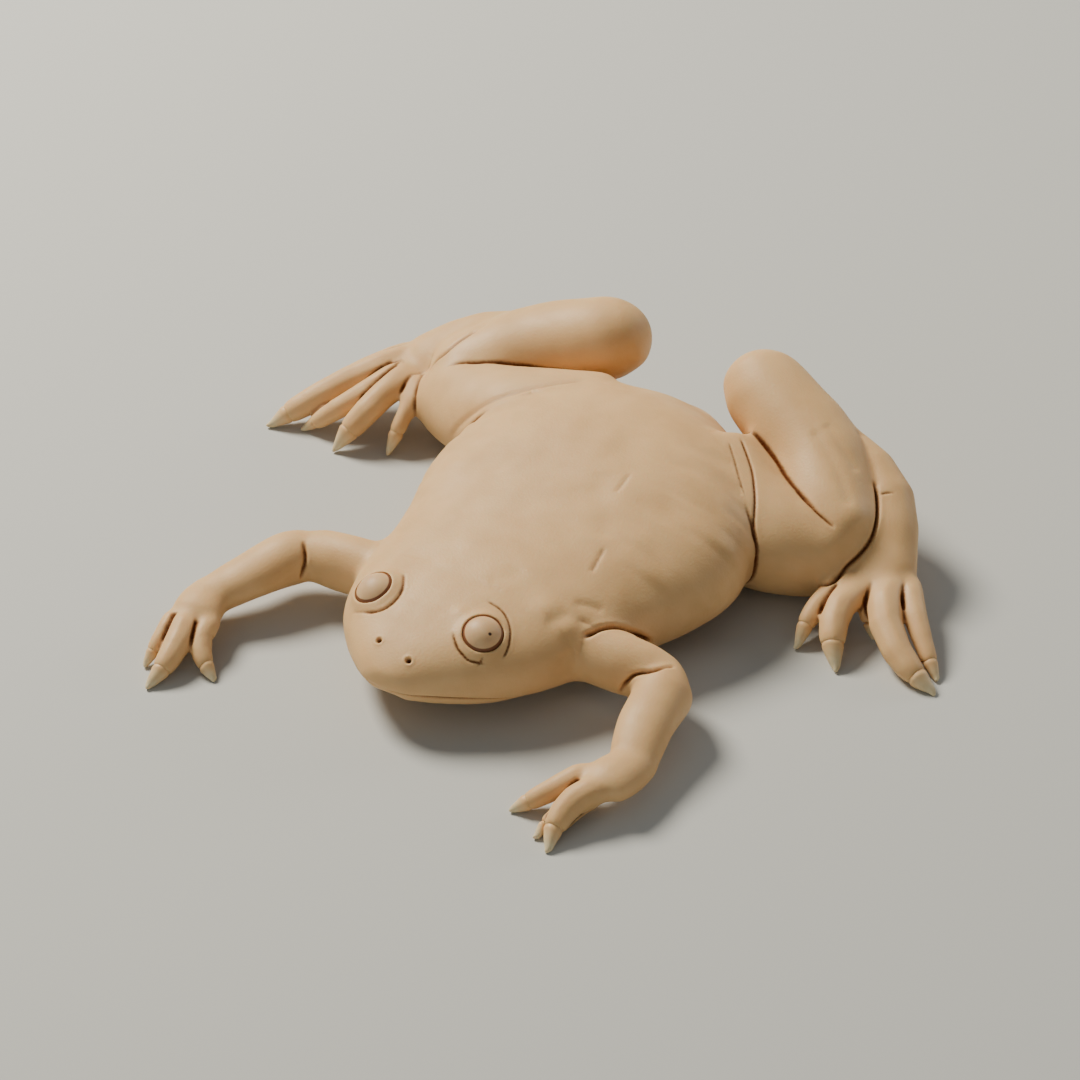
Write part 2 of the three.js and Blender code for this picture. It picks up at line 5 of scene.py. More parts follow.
import bpy
import numpy as np
from mathutils import Matrix, Vector
from mathutils.bvhtree import BVHTree
from mathutils.kdtree import KDTree


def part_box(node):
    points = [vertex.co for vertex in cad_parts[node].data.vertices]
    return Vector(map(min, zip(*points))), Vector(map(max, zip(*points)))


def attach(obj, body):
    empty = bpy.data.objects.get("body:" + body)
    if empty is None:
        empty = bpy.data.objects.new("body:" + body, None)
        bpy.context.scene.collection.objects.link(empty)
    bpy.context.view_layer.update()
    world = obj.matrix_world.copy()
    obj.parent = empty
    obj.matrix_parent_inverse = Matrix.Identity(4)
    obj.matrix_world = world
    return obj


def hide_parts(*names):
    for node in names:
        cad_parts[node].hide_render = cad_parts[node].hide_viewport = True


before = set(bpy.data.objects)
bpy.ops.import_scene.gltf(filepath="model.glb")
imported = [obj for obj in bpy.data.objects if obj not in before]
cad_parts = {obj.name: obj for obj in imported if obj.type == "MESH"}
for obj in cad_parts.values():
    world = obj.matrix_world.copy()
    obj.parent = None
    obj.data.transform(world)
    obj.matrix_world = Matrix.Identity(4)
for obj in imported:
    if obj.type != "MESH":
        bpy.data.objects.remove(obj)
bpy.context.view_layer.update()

# Driving sizes and places

MM = 0.001
SIDES = {"left": 1, "right": -1}  # the sign of X
FINGERS = 4
TOES = 5
LIMBS = ("upper_arm", "forearm", "hand", "thigh", "shank", "foot")
BODY_NODES = ("torso", "head", "lower_jaw")

SKIN_VOXEL = 0.26 * MM  # size of the skin's first, even mesh
SKIN_SWELL = 0.24 * MM  # closes the gaps between the solids and makes up for the smoothing
SKIN_TRIANGLES = 194000
SAME_PLACE = 0.002 * MM  # points that agree to this are one point
FLOOR_CLEARANCE = 0.02 * MM

# How far the facets are smoothed out on each part of the body
SMOOTHING = {
    "torso": 2.6 * MM,
    "head": 1.0 * MM,
    "lower_jaw": 0.8 * MM,
    "thigh": 2.0 * MM,
    "shank": 1.7 * MM,
    "foot": 1.0 * MM,
    "upper_arm": 1.3 * MM,
    "forearm": 1.2 * MM,
    "hand": 0.8 * MM,
    "finger": 0.5 * MM,
    "toe": 0.55 * MM,
}
SMOOTHING_STEPS = 260
LONGEST_MOVE = 0.7  # of a point in one step, as a share of the way to its neighbours' mean
REACH_EVENING_STEPS = 12  # by which the smoothing's reach changes softly over the skin
WALK_STEPS = 1.5  # steps over the mesh for each voxel of a distance
SOFT_JOIN = 1.6 * MM  # smoothing where one part flows into the next
SOFT_JOIN_MOST = 2.5  # but no more than this many times the part's own
SOFT_JOIN_REACH = 3.0 * MM
SHARP_JOIN_REACH = 1.6 * MM  # how far a fold between two parts keeps its edge
SHARP_JOIN_SPARED = 0.65  # share of the smoothing that the edge is spared
CREASE_DEPTH = 0.35 * MM  # how much deeper the skin sinks where two parts meet
CREASE_WIDTH = 0.42 * MM
# Painted shade at the bottom of each fold between two parts
CREASE_SHADE = 1.0
CREASE_EVENING = 2.0 * MM  # length over which the line of a fold is evened out

# Parts that flow into each other where they meet, and parts that meet in a fold
SOFT_PAIRS = (
    ("torso", "head"),
    ("head", "lower_jaw"),
    ("torso", "lower_jaw"),
    ("forearm", "hand"),
    ("hand", "finger"),
    ("foot", "toe"),
    ("torso", "upper_arm"),
    ("torso", "thigh"),
    ("thigh", "shank"),
    ("upper_arm", "forearm"),
    ("shank", "foot"),
    ("thigh", "foot"),
)
SHARP_PAIRS = (
    ("torso", "shank"),
    ("finger", "finger"),
)
TOE_PAIRS = (("toe", "toe"),)
TOE_ROOT_PAIRS = (("foot", "toe"),)
HEEL_PAIRS = (("thigh", "foot"), ("thigh", "toe"), ("shank", "foot"))
KNEE_PAIRS = (("thigh", "shank"),)
GROIN_PAIRS = (("torso", "thigh"),)
ARMPIT_PAIRS = (("torso", "upper_arm"),)

# Where the parts' joins fold the skin, and over what length each fold fades out
KNEES = ((45, 17, 12), (-44.5, 18, 10))  # in mm; no fold runs round the outside of a knee
KNEE_REACH = 7.0 * MM
KNEE_FADE = 4.0 * MM
KNEE_SMOOTHING = (3.0 * MM, 1.0 * MM)  # added round the outside of each knee
KNEE_SMOOTHING_FADE = (0.6, 1.5)  # where that fades out, as shares of KNEE_REACH
GROIN_TOP = 19.0 * MM  # a thigh flows into the body above this
GROIN_FADE = 4.0 * MM
HEEL_TOP = 16.0 * MM  # the right knee folds over the foot below this; the left's fold is drawn
HEEL_FADE = 7.0 * MM
TOE_ROOT_REACH = 0.4 * MM  # no fold between toes this near the foot
TOE_ROOT_FADE = 2.5 * MM
ARMPIT_TOP = 9.0 * MM
ARMPIT_FADE = 2.0 * MM
ARMPIT_Y = -29 * MM  # the arm flows into the chest ahead of this and folds behind it

# Wrinkles of the flanks and lumps of the skin, each with its size, share of the height and seed.
# A wrinkle's sizes are along the body and round it, and the third keeps the two flanks apart.
WRINKLES = (
    (np.array([2.7, 8.0, 1.0]) * MM, 1.0, 5),
    (np.array([1.5, 4.5, 1.0]) * MM, 0.45, 6),
)
WRINKLE_HEIGHT = 0.36 * MM
WRINKLE_LEAN = 0.3
FLANK_SHIFT = 0.5 * MM
LUMPS = ((7 * MM, 1.0, 7), (3.5 * MM, 0.5, 8))
LUMP_HEIGHT = 0.05  # in mm, everywhere
BODY_LUMP_HEIGHT = 0.13  # in mm, on top of that on the torso
BODY_MIDDLE_Z = 8 * MM

# Where the wrinkles fade in: how far out, how high, along Y in front and along -Y behind
FLANK_OUT = (12 * MM, 20 * MM)
FLANK_UP = (7 * MM, 12 * MM)
FLANK_FRONT = (-20 * MM, -10 * MM)
FLANK_BACK = (-26 * MM, -14 * MM)

# Noise: made of whole numbers that are scrambled for each corner of a grid
NOISE_START = 1000  # keeps the grid's numbers above zero
NOISE_LEVELS = 65536
CORNER_FACTORS = (73856093, 19349663, 83492791)
SEED_FACTOR = 2654435761
SCRAMBLE_FACTOR = 1274126177

# A fold's section, in half widths of the fold where no other size is given
FOLD_REACH = 4.5
FOLD_LEAST_REACH = 1.2 * MM
SHOULDER_PLACE = 2.1
SHOULDER_WIDTH = 1.1
FOLD_SHOULDER = 0.05  # how far the skin swells beside a fold, as a share of the fold's depth
LINE_WIDTH = 0.8
THINNEST_LINE = 0.26 * MM
FOLD_ENDS = 0.1  # share of a fold's length over which it fades at each end
FOLD_LEAST_FADE = 1.3 * MM
LINE_STEP = 0.25 * MM

HOLLOW_STEPS = 6  # by which the painted shade in hollows is softened
HOLLOW_DEPTHS = (0.002 * MM, 0.02 * MM)  # of a point under its neighbours' mean

MOUTH_CORNER_Y = -37.5 * MM
SNOUT_Y = -53.6 * MM
MOUTH_FRONT_Z = 7.5 * MM
MOUTH_DROP = 3.2 * MM
MOUTH_CURVE = 1.4
MOUTH_START = 26 * MM  # how far out the mouth's line is looked for, short of the hands
MOUTH_POINTS = 41
MOUTH_ROUNDS = 3  # in which a point of the mouth finds its height
MOUTH_DEPTH = 0.7 * MM
MOUTH_WIDTH = 0.32 * MM
NOSTRIL_RADIUS = 0.45 * MM
NOSTRIL_DEPTH = 0.7 * MM
NOSTRIL_STEEPNESS = 4
NOSTRIL_RIM = 0.12 * MM
RIM_PLACE = 1.7  # how far out the nostril's rim lies and how wide it is, in its radii
RIM_WIDTH = 0.6

CLAW_SIDES = 24
CLAW_STEP = 0.2 * MM
TUCKED_CLAWS = ("claw_finger_3_left", "claw_finger_2_right")  # of fingers under the hand
CLAW_SECTIONS = (0.06, 0.22, 0.4, 0.6, 0.8)  # places along a claw, as shares of its length
CLAW_ROOT_POINTS = 9  # a claw's points that are nearest to its digit
CLAW_SWELL = 0.1 * MM
CLAW_POINT = 0.2 * MM
TIP_CUT = 0.02  # share of CLAW_POINT by which the round tip stops short
CLAW_SUNK = 1.0 * MM  # how far inside its digit a claw starts
CLAW_SUNK_SIZE = 0.9  # as a share of its size at the root
CUTICLE_RISE = 0.06 * MM  # how far the skin stands out round a claw's root
CUTICLE_DARKNESS = 0.25
CUTICLE_BACK = 0.1 * MM  # how far behind the root the dark line runs
CUTICLE_WIDTH = 0.22 * MM
DIGIT_TAPER = 0.28  # how fast a digit widens behind its claw
DIGIT_ROUNDING = 0.3 * MM
DIGIT_BEHIND = (2.0 * MM, 4.0 * MM)  # the stretch behind a claw that gives the digit's direction
DIGIT_END = 5.0 * MM  # how far behind its claw a digit is narrowed
DIGIT_REACH = 3.3 * MM  # and how far out from its middle line
DIGIT_CORE = 0.1 * MM  # nearer to that line than this, the skin is pulled less

EYE_ROWS = 48
EYE_COLUMNS = 96
EYE_AXIS = Vector((0.6, -0.7, 2.0))  # of the left eye's lids
LID_ANGLES = (48.0, 50.0)  # where painted shade rings the eye at its lids, in degrees from that axis
PUPIL_ANGLES = (3.4, 5.2)
RIGHT_PUPIL_TURN = -0.5  # how much further outwards the right eye looks

# Places that are read off the picture, in its pixels
NOSTRILS = ((378.9, 640.4), (408.5, 660.7))
LEFT_PUPIL = (490, 634)

# Folds: where they run in the picture, depth and half width in mm, and how dark the painted shade
# at their bottom is
FOLDS = {
    "armpit": (((582, 638), (591, 633), (602, 628), (618, 627), (634, 632), (652, 643)),
               1.2, 0.42, 1.0),
    "armpit middle": (((576, 619), (590, 624), (600, 631)), 0.2, 0.5, 0.25),
    "armpit top": (((572, 603), (590, 606), (606, 612)), 0.22, 0.8, 0.12),
    "throat side": (((543, 620), (556, 620), (572, 612)), 0.2, 1.2, 0.0),
    "neck": (((486, 582), (506, 578), (522, 565)), 0.14, 1.6, 0.0),
    "jaw side": (((563, 650), (566, 664), (565, 678)), 0.25, 1.6, 0.0),
    "back dent": (((590, 574), (597, 561), (605, 546)), 0.2, 0.45, 0.45),
    "flank dent": (((614, 494), (622, 484), (631, 472)), 0.15, 0.45, 0.3),
    "shoulder blade": (((603, 470), (599, 498), (606, 516), (602, 540)), 0.15, 2.0, 0.0),
    "elbow left": (((619, 693), (626, 682), (636, 674), (655, 670), (676, 667)),
                   0.7, 0.34, 1.0),
    "elbow right": (((303, 540), (305, 555), (304, 567), (300, 581)), 0.6, 0.36, 1.0),
    "groin front": (((728, 440), (736, 466), (741, 484), (750, 516)), 0.14, 0.24, 0.75),
    "groin": (((740, 437), (744, 446), (752, 470), (755, 498), (754, 526), (757, 546)),
              0.35, 0.28, 1.0),
    "groin right": (((450, 441), (468, 417), (502, 397), (548, 385), (590, 380)), 0.25, 0.6, 0.25),
    "knee left": (((800, 495), (809, 504), (820, 515), (835, 530)), 0.4, 0.34, 1.0),
    "heel": (((874, 478), (877, 492), (878, 507), (876, 524), (871, 539), (861, 553), (847, 567),
              (837, 578), (827, 584), (815, 588)), 0.9, 0.36, 1.0),
    "heel top": (((858, 430), (868, 453), (873, 471), (877, 490)), 0.3, 0.9, 0.0),
    "heel right top": (((510, 310), (490, 321), (470, 334)), 0.22, 0.8, 0.1),
    "heel right": (((478, 329), (458, 342), (444, 354), (432, 366), (422, 380)), 0.4, 0.4, 0.6),
    "eye outer": (((486, 600), (503, 612), (510, 628), (509, 645), (502, 661)), 0.22, 0.22, 0.9),
    "eye inner": (((452, 631), (457, 647), (463, 655), (470, 661), (487, 664)), 0.26, 0.22, 1.0),
    "eye corner": (((484, 654), (481, 661), (476, 669)), 0.2, 0.2, 0.9),
    "far eye": (((404, 572), (402, 590), (390, 605), (373, 612), (352, 613)), 0.35, 0.26, 0.9),
    "ankle": (((875, 495), (886, 493), (897, 493)), 0.2, 0.22, 0.8),
    "shank first": (((812, 428), (830, 456), (843, 484), (849, 510)), 0.22, 1.0, 0.1),
    "shank second": (((824, 422), (842, 446), (858, 474)), 0.2, 0.9, 0.08),
}
# Swellings: place in the picture, height and radius in mm
SWELLS = {
    "left knee": ((854, 522), 0.9, 3.4),
    "below left knee": ((835, 540), 0.6, 2.8),
    "right knee": ((452, 374), 0.5, 3.4),
    "brow": ((460, 612), 0.3, 1.3),
    "shoulder": ((546, 608), 0.4, 2.4),
    "arm root": ((568, 628), 0.4, 2.0),
    "shoulder right": ((455, 470), 0.35, 4.0),
}

SKIN_COLOUR = (0.73, 0.45, 0.205)
SKIN_SHADE = (0.65, 0.385, 0.165)
# Painted shade in the skin's hollows
HOLLOW_SHADE_COLOUR = (0.46, 0.2, 0.07)
# Painted shade at the bottom of folds, along the mouth and in the nostrils; the faint line at each
# claw's root takes it too
FOLD_SHADE_COLOUR = (0.075, 0.011, 0.002)
EYE_COLOUR = (0.71, 0.45, 0.225)
EYE_SHADE = (0.61, 0.37, 0.18)
# Painted shade in the gap where the lids meet the eyeball
LID_SHADE_COLOUR = (0.2, 0.07, 0.025)
PUPIL_COLOUR = (0.05, 0.02, 0.01)
CLAW_COLOUR = (0.72, 0.59, 0.36)
CLAW_SHADE = (0.64, 0.49, 0.27)

# Which part of a mask's range takes a colour, or with VALUE_SPAN a value, from first to second
MOTTLING_SPAN = (0.35, 0.7)
HOLLOW_SHADE_SPAN = (0, 1.6)
FOLD_SHADE_SPAN = (0.15, 1.0)
CLAW_ROOT_SPAN = (0.05, 0.55)
VALUE_SPAN = (0.3, 0.7)

# Sizes of the fine grain and of the broad mottling, and the grain's height and strength
GRAIN_DETAIL = (2, 3)  # of the noise that makes the one and the other
SKIN_GRAIN = (0.00045, 0.007)
SKIN_BUMP = (0.00012, 0.35)
EYE_GRAIN = (0.0003, 0.003)
EYE_BUMP = (0.00004, 0.15)
CLAW_GRAIN = (0.00025, 0.0015)
CLAW_BUMP = (0.00005, 0.25)

# Shine, and how light spreads inside: its share, its way for each colour and its size
SKIN_ROUGHNESS = (0.46, 0.6)
SKIN_SHINE = (0.3, 0.0)  # of open skin and of the bottom of a fold
SKIN_DEPTH = (0.3, (1.0, 0.5, 0.28), 0.0016)
EYE_ROUGHNESS = 0.5
EYE_SHINE = 0.35
EYE_DEPTH = (0.25, (1.0, 0.4, 0.2), 0.0012)
CLAW_ROUGHNESS = (0.42, 0.54)
CLAW_SHINE = 0.35
CLAW_DEPTH = (0.2, (1.0, 0.6, 0.35), 0.0008)

WORLD_COLOUR = (0.92, 1.0, 1.05, 1)
WORLD_STRENGTH = 0.2
FLOOR_REACH = 3.0
FLOOR_COLOUR = (0.53, 0.52, 0.48, 1)
FLOOR_ROUGHNESS = 0.8

# Lamps: direction from the frog, distance, size, power in watts and colour
LAMPS = {
    "key": ((-0.7, 0.12, 0.75), 0.95, 0.35, 15.2, (1.0, 0.96, 0.86)),
    "fill": ((0.15, -0.95, 0.14), 0.9, 0.6, 1.2, (0.85, 1.0, 1.0)),
    "rim": ((0.45, 0.85, 0.35), 0.8, 0.25, 1.2, (1.0, 0.97, 0.95)),
}

# Camera, fitted to the picture
CAMERA_AZIMUTH = math.radians(34.4)
CAMERA_ELEVATION = math.radians(35.6)
CAMERA_DISTANCE = 0.5118
CAMERA_TARGET = Vector((-0.0016, -0.0062, 0.0083))
CAMERA_LENS = 100  # in mm, as is the sensor
SENSOR_WIDTH = 36
PICTURE_WIDTH = 1080
NEAREST_SEEN = 0.01

# Sockets of a Mix node that take and give colours
MIX_FIRST = 6
MIX_SECOND = 7
MIX_RESULT = 2


# Names of nodes


def digit_nodes(side):
    fingers = [f"finger_{n}_{side}" for n in range(1, FINGERS + 1)]
    return fingers + [f"toe_{n}_{side}" for n in range(1, TOES + 1)]


def flesh_nodes():
    """The nodes that the skin is drawn over."""
    names = list(BODY_NODES)
    for side in SIDES:
        names += [f"{limb}_{side}" for limb in LIMBS]
        names += digit_nodes(side)
    return names


def kind_of(node):
    """The part's name without its number and side."""
    return next(kind for kind in SMOOTHING if node.startswith(kind))


# Meshes as arrays


def points_of(mesh):
    values = np.empty(len(mesh.vertices) * 3, np.float32)
    mesh.vertices.foreach_get("co", values)
    return values.reshape(-1, 3).astype(float)


def triangles_of(mesh):
    mesh.calc_loop_triangles()
    values = np.empty(len(mesh.loop_triangles) * 3, np.int32)
    mesh.loop_triangles.foreach_get("vertices", values)
    return values.reshape(-1, 3)


def edges_of(mesh):
    values = np.empty(len(mesh.edges) * 2, np.int32)
    mesh.edges.foreach_get("vertices", values)
    return values.reshape(-1, 2)


def set_points(mesh, points):
    mesh.vertices.foreach_set("co", points.astype(np.float32).ravel())
    mesh.update()


def set_values(mesh, name, values):
    """One number for each vertex, which the materials read by name."""
    layer = mesh.attributes.get(name) or mesh.attributes.new(name, "FLOAT", "POINT")
    layer.data.foreach_set("value", values.astype(np.float32))


def mesh_of(name, points, triangles):
    mesh = bpy.data.meshes.new(name)
    mesh.from_pydata(points.tolist(), [], triangles.tolist())
    mesh.update()
    return mesh


def normals_of(points, triangles):
    a, b, c = (points[triangles[:, i]] for i in range(3))
    across = np.cross(b - a, c - a)
    total = np.zeros_like(points)
    for i in range(3):
        for axis in range(3):
            total[:, axis] += np.bincount(
                triangles[:, i], weights=across[:, axis], minlength=len(points)
            )
    lengths = np.linalg.norm(total, axis=1, keepdims=True)
    return total / np.maximum(lengths, 1e-20)


def closed_copy(node):
    """A node's points with the doubles merged, and its triangles."""
    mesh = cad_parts[node].data
    points = points_of(mesh)
    _, first, place = np.unique(
        np.round(points / SAME_PLACE).astype(np.int64),
        axis=0,
        return_index=True,
        return_inverse=True,
    )
    triangles = place.reshape(-1)[triangles_of(mesh)]
    whole = (
        (triangles[:, 0] != triangles[:, 1])
        & (triangles[:, 1] != triangles[:, 2])
        & (triangles[:, 2] != triangles[:, 0])
    )
    return points[first], triangles[whole]


def add_object(name, mesh):
    piece = bpy.data.objects.new(name, mesh)
    bpy.context.scene.collection.objects.link(piece)
    return piece


def with_modifier(mesh, kind, **settings):
    """The mesh that one modifier makes of a mesh."""
    carrier = add_object("carrier", mesh)
    modifier = carrier.modifiers.new("shape", kind)
    for setting, value in settings.items():
        setattr(modifier, setting, value)
    depsgraph = bpy.context.evaluated_depsgraph_get()
    made = bpy.data.meshes.new_from_object(carrier.evaluated_get(depsgraph))
    bpy.data.objects.remove(carrier)
    return made


def even_mesh(points, triangles, voxel):
    """One closed surface of even quads round all the points' surfaces."""
    joined = mesh_of("joined", points, triangles)
    return with_modifier(joined, "REMESH", mode="VOXEL", voxel_size=voxel, adaptivity=0)


# Smoothing and distances over a surface


def neighbour_mean(values, edges, valence):
    total = np.empty_like(values)
    for axis in range(values.shape[1]):
        column = values[:, axis]
        total[:, axis] = np.bincount(
            edges[:, 0], weights=column[edges[:, 1]], minlength=len(values)
        )
        total[:, axis] += np.bincount(
            edges[:, 1], weights=column[edges[:, 0]], minlength=len(values)
        )
    return total / valence[:, None]


def valence_of(edges, count):
    return np.maximum(np.bincount(edges.ravel(), minlength=count), 1)


def smoothed(points, edges, reach, steps, voxel):
    """Each point moves towards its neighbours' mean, as far as its own reach asks."""
    valence = valence_of(edges, len(points))
    share = np.minimum(2 * (reach / voxel) ** 2 / steps, LONGEST_MOVE)[:, None]
    for _ in range(steps):
        points = points + share * (neighbour_mean(points, edges, valence) - points)
    return points


def spread(values, edges, steps):
    """Numbers on a surface, softened into their surroundings."""
    valence = valence_of(edges, len(values))
    column = values[:, None].astype(float)
    for _ in range(steps):
        column = 0.5 * column + 0.5 * neighbour_mean(column, edges, valence)
    return column[:, 0]


def distance_from(sources, points, edges, reach):
    """Distance over the surface from the nearest source, up to a reach."""
    lengths = np.linalg.norm(points[edges[:, 0]] - points[edges[:, 1]], axis=1)
    away = np.full(len(points), reach)
    away[sources] = 0
    for _ in range(int(WALK_STEPS * reach / SKIN_VOXEL)):
        np.minimum.at(away, edges[:, 1], away[edges[:, 0]] + lengths)
        np.minimum.at(away, edges[:, 0], away[edges[:, 1]] + lengths)
    return away


# Camera


def camera_axes():
    sin_a, cos_a = math.sin(CAMERA_AZIMUTH), math.cos(CAMERA_AZIMUTH)
    sin_e, cos_e = math.sin(CAMERA_ELEVATION), math.cos(CAMERA_ELEVATION)
    back = Vector((sin_a * cos_e, -cos_a * cos_e, sin_e))
    right = Vector((cos_a, sin_a, 0))
    return right, back.cross(right), back


def camera_place():
    return CAMERA_TARGET + camera_axes()[2] * CAMERA_DISTANCE


def add_camera():
    data = bpy.data.cameras.new("camera")
    data.lens = CAMERA_LENS
    data.sensor_width = SENSOR_WIDTH
    data.clip_start = NEAREST_SEEN
    camera = add_object("camera", data)
    right, up, back = camera_axes()
    columns = [(*axis, 0) for axis in (right, up, back)] + [(*camera_place(), 1)]
    camera.matrix_world = Matrix(columns).transposed()
    bpy.context.scene.camera = camera


def seen_through(pixel):
    """The direction that a pixel of the picture looks in."""
    right, up, back = camera_axes()
    focal = CAMERA_LENS / SENSOR_WIDTH * PICTURE_WIDTH
    across = (pixel[0] - PICTURE_WIDTH / 2) / focal
    rise = (PICTURE_WIDTH / 2 - pixel[1]) / focal
    return (right * across + up * rise - back).normalized()


# Skin: the flesh as one surface


def joined_flesh():
    """The points and triangles of all flesh nodes, swollen, and the node of each triangle."""
    points, triangles, owners = [], [], []
    count = 0
    for number, node in enumerate(flesh_nodes()):
        own_points, own_triangles = closed_copy(node)
        own_points = own_points + SKIN_SWELL * normals_of(own_points, own_triangles)
        points.append(own_points)
        triangles.append(own_triangles + count)
        owners.append(np.full(len(own_triangles), number))
        count += len(own_points)
    return np.concatenate(points), np.concatenate(triangles), np.concatenate(owners)


def nearest_owner(points, flesh_points, flesh_triangles, owners):
    tree = BVHTree.FromPolygons(flesh_points.tolist(), flesh_triangles.tolist())
    found = [tree.find_nearest(point)[2] for point in points.tolist()]
    return owners[np.array(found)]


def meeting(owner, edges, pairs):
    """The edges that cross from one kind of part to another."""
    kinds = [kind_of(node) for node in flesh_nodes()]
    count = len(kinds)
    wanted = np.zeros((count, count), bool)
    for i, first in enumerate(kinds):
        for j, second in enumerate(kinds):
            wanted[i, j] = i != j and ((first, second) in pairs or (second, first) in pairs)
    return edges[wanted[owner[edges[:, 0]], owner[edges[:, 1]]]]


def tree_of(points):
    tree = KDTree(len(points))
    for i, point in enumerate(points.tolist()):
        tree.insert(point, i)
    tree.balance()
    return tree


def to_knees(points):
    """How far each point is from either knee."""
    return [np.linalg.norm(points - np.array(knee) * MM, axis=1) for knee in KNEES]


def creases(owner, points, edges):
    """Points along the folds between parts, evened out, and the strength of the fold at each."""
    whole, knees, groins, armpits, heels, toes, toe_roots = (
        points[meeting(owner, edges, pairs)].mean(1)
        for pairs in (
            SHARP_PAIRS,
            KNEE_PAIRS,
            GROIN_PAIRS,
            ARMPIT_PAIRS,
            HEEL_PAIRS,
            TOE_PAIRS,
            TOE_ROOT_PAIRS,
        )
    )
    tree = tree_of(toe_roots)
    to_root = np.array([tree.find(toe)[2] for toe in toes.tolist()])
    behind_arm = ramp(armpits[:, 1], ARMPIT_Y, ARMPIT_Y + ARMPIT_FADE)
    strengths = [
        np.ones(len(whole)),
        ramp(np.min(to_knees(knees), axis=0), KNEE_REACH, KNEE_REACH + KNEE_FADE),
        ramp(GROIN_TOP - groins[:, 2], 0, GROIN_FADE),
        ramp(ARMPIT_TOP - armpits[:, 2], 0, ARMPIT_FADE) * behind_arm,
        ramp(HEEL_TOP - heels[:, 2], 0, HEEL_FADE) * (heels[:, 0] < 0),
        ramp(to_root, TOE_ROOT_REACH, TOE_ROOT_REACH + TOE_ROOT_FADE),
    ]
    places = np.concatenate([whole, knees, groins, armpits, heels, toes])
    rows = np.column_stack([places, np.concatenate(strengths)])
    tree = tree_of(places)
    near = [tree.find_range(place, CREASE_EVENING) for place in places.tolist()]
    rows = np.array([rows[[number for _, number, _ in found]].mean(0) for found in near])
    return rows[:, :3], rows[:, 3]


def near_creases(owner, points, edges):
    """For each point of the skin, how far the nearest fold is and how strong it is."""
    places, strengths = creases(owner, points, edges)
    tree = tree_of(places)
    found = [tree.find(point) for point in points.tolist()]
    return np.array([hit[2] for hit in found]), strengths[[hit[1] for hit in found]]


def smooth_skin():
    """The skin's mesh with its facets gone, and what each vertex belongs to."""
    flesh_points, flesh_triangles, owners = joined_flesh()
    mesh = even_mesh(flesh_points, flesh_triangles, SKIN_VOXEL)
    points, edges = points_of(mesh), edges_of(mesh)
    owner = nearest_owner(points, flesh_points, flesh_triangles, owners)
    reach = np.array([SMOOTHING[kind_of(node)] for node in flesh_nodes()])[owner]
    soft_joins = np.unique(meeting(owner, edges, SOFT_PAIRS))
    softness = 1 - distance_from(soft_joins, points, edges, SOFT_JOIN_REACH) / SOFT_JOIN_REACH
    reach = np.maximum(reach, softness * np.minimum(SOFT_JOIN, SOFT_JOIN_MOST * reach))
    near, far = (share * KNEE_REACH for share in KNEE_SMOOTHING_FADE)
    for away, smoothing in zip(to_knees(points), KNEE_SMOOTHING):
        reach = reach + smoothing * (1 - ramp(away, near, far))
    away, strength = near_creases(owner, points, edges)
    edge = np.clip(1 - away / SHARP_JOIN_REACH, 0, 1)
    reach = reach * (1 - SHARP_JOIN_SPARED * strength * edge)
    reach = spread(reach, edges, REACH_EVENING_STEPS)
    points = smoothed(points, edges, reach, SMOOTHING_STEPS, SKIN_VOXEL)
    set_points(mesh, points)
    return mesh, owner


# Relief: folds, lumps and pits pressed into the smooth skin


def soft_noise(points, size, seed):
    """Smooth noise from -1 to 1, with lumps of about the given size."""
    place = points / size + NOISE_START
    corner = np.floor(place).astype(np.int64)
    part = place - corner
    part = part * part * (3 - 2 * part)
    total = np.zeros(len(points))
    for step in np.ndindex(2, 2, 2):
        at = corner + np.array(step)
        code = seed * SEED_FACTOR
        for axis, factor in enumerate(CORNER_FACTORS):
            code = code ^ at[:, axis] * factor
        code = (code ^ (code >> 13)) * SCRAMBLE_FACTOR & 0xFFFFFFFF
        value = (code ^ (code >> 16)) % NOISE_LEVELS / ((NOISE_LEVELS - 1) / 2) - 1
        weight = np.prod(np.where(np.array(step), part, 1 - part), axis=1)
        total += weight * value
    return total


def noises(points, rows):
    """Several sizes of noise added up, each with its share and its seed."""
    return sum(share * soft_noise(points, size, seed) for size, share, seed in rows)


def ramp(values, low, high):
    """0 below low, 1 above high and smooth between them."""
    share = np.clip((values - low) / (high - low), 0, 1)
    return share * share * (3 - 2 * share)


def along(corners, step=LINE_STEP):
    """Points close together on a smooth line through a few corners."""
    corners = np.array(corners, float)
    ends = np.concatenate([[2 * corners[0] - corners[1]], corners, [2 * corners[-1] - corners[-2]]])
    line = []
    for i in range(len(corners) - 1):
        a, b, c, d = ends[i : i + 4]
        count = max(2, int(np.linalg.norm(c - b) / step))
        for t in np.arange(count)[:, None] / count:
            line.append(
                0.5 * (2 * b + (c - a) * t + (2 * a - 5 * b + 4 * c - d) * t**2)
                + 0.5 * (3 * b - a - 3 * c + d) * t**3
            )
    return np.array(line + [corners[-1]])


def on_skin(pixel, tree):
    """The place on the skin that a pixel of the picture shows."""
    hit = tree.ray_cast(camera_place(), seen_through(pixel))[0]
    return None if hit is None else np.array(hit)


def near_line(line, points, reach):
    """Which points lie within reach of a line, how far off, and how far along as a share."""
    low, high = line.min(0) - reach, line.max(0) + reach
    close = np.flatnonzero(((points > low) & (points < high)).all(1))
    gaps = np.linalg.norm(points[close][:, None] - line[None], axis=2)
    nearest = gaps.argmin(1)
    away = gaps[np.arange(len(close)), nearest]
    within = away < reach
    return close[within], away[within], nearest[within] / (len(line) - 1)


